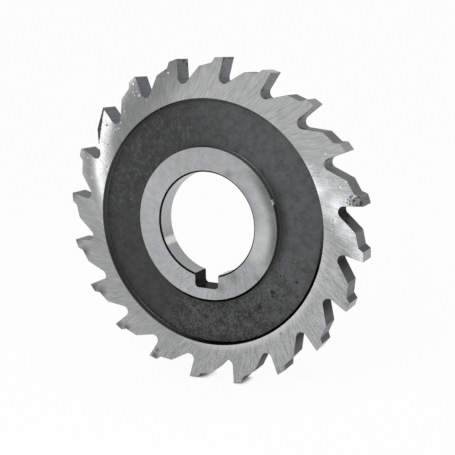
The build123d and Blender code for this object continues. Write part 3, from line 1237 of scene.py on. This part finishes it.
def cut_steel(kind, name, roughness, marks_per_metre, depth, sheen=0.0, gleam="", stains_and_shadows=(), burnt=0.0):
    """Steel with straight marks from the cutter or the wheel that made the surface."""
    surface = Surface(name, anisotropic=sheen)
    tree = surface.tree
    if sheen:
        feed(surface.sockets["Tangent"], round_axis(tree))
    lines = group(tree, "Cut marks", Marks_per_Metre=marks_per_metre)["Marks"]
    spots = mottled_by(tree, 1.2, 0.3, 0.8)
    surface.paint(kind, lines * 0.5 + spots["Patches"] * 0.3 + spots["Grain"] * 0.2)
    # A painted highlight on the bore's wall
    if gleam:
        surface.lay("droplet_and_highlight", sector(tree, gleam) * 0.75)
    surface.lay("stain_and_shade", spots["Pits"] * 0.35)
    # Real stains on the cutting faces, and painted shadow in the crumbled hollow and on the shaded flanks
    if stains_and_shadows:
        surface.lay("stain_and_shade", marks(tree, stains_and_shadows) * 0.85)
    # Painted shade that deepens into the gullets, as much as given, with a greyer sheen
    if burnt:
        surface.sockets["Specular Tint"].default_value = (0.6, 0.6, 0.6, 1.0)
        surface.lay("scale_high", ring(tree, "deep in the gullets") * burnt)
    surface.roughness = spots["Patches"] * 0.15 + (roughness - 0.07)
    surface.height = lines
    return surface.finished(depth * MM)


def make_finishes():
    """Every finish of the cutter, by the surface that it is on."""
    for make in (grinding_arcs, cut_marks, mottle, mark):
        make()
    finishes = {
        "rim": ground_rim(),
        "hub": ground_hub(),
        "web": web_oxide(),
        "wall": black_oxide("wall", 0.5, 0.25),
        "keyway": black_oxide("keyway", 0.03, 0.4),
    }
    for kind, (name, roughness, marks_per_metre, depth, more) in CUT_FINISHES.items():
        finishes[kind] = cut_steel(kind, name, roughness, marks_per_metre, depth, **more)
    return finishes


def merge_close():
    """Merges the places that the cuts left nearer together than anything that shows."""
    with editing():
        take_all()
        bpy.ops.mesh.remove_doubles(threshold=CLOSE)
        bpy.ops.mesh.dissolve_degenerate(threshold=SAME_PLACE)


def lay_finishes(cutter, finishes, blank, tooth):
    """Gives every face the finish of its surface."""
    cutter.data.materials.clear()
    for material in finishes.values():
        cutter.data.materials.append(material)
    with editing():
        for slot, surface in enumerate(finishes):
            pick("FACE", lambda face: surface_of(face, blank, tooth) == surface)
            cutter.active_material_index = slot
            bpy.ops.object.material_slot_assign()


class SLOTTINGCUTTER_OT_model(bpy.types.Operator):
    """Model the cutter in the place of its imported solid"""

    bl_idname = "slotting_cutter.model"
    bl_label = "Model the cutter"

    def execute(self, context):
        blank = context.scene.cutter_blank
        tooth = context.scene.cutter_tooth
        wear = context.scene.cutter_wear
        finishes = make_finishes()
        cutter = turn_blank(blank, tooth)
        carve(cutter, mill_teeth(blank, tooth), "INTERSECT")
        carve(cutter, keyway_tool(blank))
        tidy_sides(blank, tooth)
        for number, radius in BLUNT_TEETH.items():
            blunt_edge(blank, tooth, number, radius)
        lay_finishes(cutter, finishes, blank, tooth)
        break_edges(tooth, wear.broken_edge, list(finishes).index("edge"))
        for tool in worn_corners(blank, tooth, wear, finishes):
            carve(cutter, tool)
        for place in PITS:
            carve(cutter, pit(blank, place, finishes))
        merge_close()
        bpy.ops.object.select_all(action="DESELECT")
        cutter.select_set(True)
        bpy.context.view_layer.objects.active = cutter
        bpy.ops.object.shade_smooth_by_angle(angle=SMOOTH)
        apply_modifier(cutter, "WEIGHTED_NORMAL", keep_sharp=True)
        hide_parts("slotting_cutter")
        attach(cutter, "root")
        return {"FINISHED"}


class SLOTTINGCUTTER_OT_stage(bpy.types.Operator):
    """Set the table, the lights and the camera"""

    bl_idname = "slotting_cutter.stage"
    bl_label = "Set the stage"

    def execute(self, context):
        stage = context.scene.cutter_stage
        lay_table(stage)
        set_lights(stage)
        set_camera(stage)
        return {"FINISHED"}


def table_paper(stage):
    """White paper that shows as white, and keeps the shadow."""
    material = bpy.data.materials.new("White paper")
    material.use_nodes = True
    tree = material.node_tree
    tree.nodes.clear()
    matte = result(tree, "BsdfDiffuse", {"Color": rgba(stage.table)})
    glow = result(tree, "Emission", {"Color": (1, 1, 1, 1), "Strength": 1.0})
    rays = fields(put(tree, "LightPath"))
    seen = rays["Is Camera Ray"] | rays["Is Glossy Ray"] | rays["Is Transmission Ray"]
    open_air = result(tree, "AmbientOcclusion", {"Distance": stage.contact_shadow}, "AO", samples=16)
    amount = seen * ramp(open_air, 0.2, 0.95, 0.0, stage.table_glow)
    put(tree, "OutputMaterial", {"Surface": result(tree, "MixShader", {0: amount, 1: matte, 2: glow})})
    return material


def lay_table(stage):
    """A sheet of paper under the cutter, curved up behind it."""
    table = edit_new(bpy.ops.mesh.primitive_plane_add, "table", size=2 * TABLE_REACH)

    def at_foot(edge):
        corners = (corner.co for corner in edge.verts)
        return all(corner.y > 0.9 * TABLE_REACH and corner.z < SWEEP_HEIGHT / 2 for corner in corners)

    pick("EDGE", at_foot)
    bpy.ops.mesh.extrude_region_move(TRANSFORM_OT_translate={"value": (0, 0, SWEEP_HEIGHT)})
    pick("EDGE", at_foot)
    bpy.ops.mesh.bevel(offset=0.9 * SWEEP_HEIGHT, segments=16, affect="EDGES")
    take_all()
    bpy.ops.transform.rotate(value=-stage.camera_azimuth, orient_axis="Z", center_override=(0, 0, 0))
    bpy.ops.transform.translate(value=(0, 0, solid_low.z))
    point_outwards()
    leave_edit()
    bpy.ops.object.shade_smooth()
    table.data.materials.append(table_paper(stage))
    return table


def set_lights(stage):
    """A softbox above the front, and plain light from all round."""
    way = Vector((sin(stage.key_azimuth), -cos(stage.key_azimuth), tan(stage.key_height))).normalized()
    bpy.ops.object.light_add(
        type="AREA", location=way * stage.key_distance, rotation=way.to_track_quat("Z", "Y").to_euler()
    )
    key = bpy.context.object
    key.name = "softbox"
    key.data.shape = "SQUARE"
    key.data.size = stage.key_width
    key.data.energy = stage.key_power
    world = bpy.data.worlds.new("Plain light")
    world.use_nodes = True
    world.node_tree.nodes["Background"].inputs["Color"].default_value = (1, 1, 1, 1)
    world.node_tree.nodes["Background"].inputs["Strength"].default_value = stage.world_level
    bpy.context.scene.world = world
    bpy.context.scene.view_settings.view_transform = "Standard"


def set_camera(stage):
    """The camera where the photograph was taken from."""
    turned_to = (
        Matrix.Rotation(stage.camera_azimuth, 3, "Z")
        @ Matrix.Rotation(pi / 2 - stage.camera_elevation, 3, "X")
        @ Matrix.Rotation(stage.camera_roll, 3, "Z")
    )
    place = Vector(CAMERA_AIM) + turned_to @ Vector((0, 0, stage.camera_distance))
    bpy.ops.object.camera_add(location=place, rotation=turned_to.to_euler())
    camera = bpy.context.object
    camera.data.sensor_width = 36
    camera.data.lens = stage.camera_lens
    bpy.context.scene.camera = camera


class SLOTTINGCUTTER_PT_sidebar(bpy.types.Panel):
    """Lists the cutter's operators"""

    bl_label = "Slotting cutter"
    bl_space_type = "VIEW_3D"
    bl_region_type = "UI"
    bl_category = "Cutter"

    def draw(self, context):
        for operator in OPERATORS:
            self.layout.operator(operator.bl_idname)


OPERATORS = (SLOTTINGCUTTER_OT_model, SLOTTINGCUTTER_OT_stage)
GROUPS = {
    "cutter_blank": BlankSizes,
    "cutter_tooth": ToothSizes,
    "cutter_wear": WearSizes,
    "cutter_finish": FinishColours,
    "cutter_stage": StageSettings,
}


def register():
    for settings in GROUPS.values():
        bpy.utils.register_class(settings)
    for name, settings in GROUPS.items():
        setattr(bpy.types.Scene, name, PointerProperty(type=settings))
    for part in OPERATORS + (SLOTTINGCUTTER_PT_sidebar,):
        bpy.utils.register_class(part)


def unregister():
    for part in OPERATORS + (SLOTTINGCUTTER_PT_sidebar,):
        bpy.utils.unregister_class(part)
    for name, settings in GROUPS.items():
        delattr(bpy.types.Scene, name)
        bpy.utils.unregister_class(settings)


def main():
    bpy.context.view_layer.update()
    register()
    bpy.ops.slotting_cutter.model()
    bpy.ops.slotting_cutter.stage()


if __name__ == "__main__":
    main()
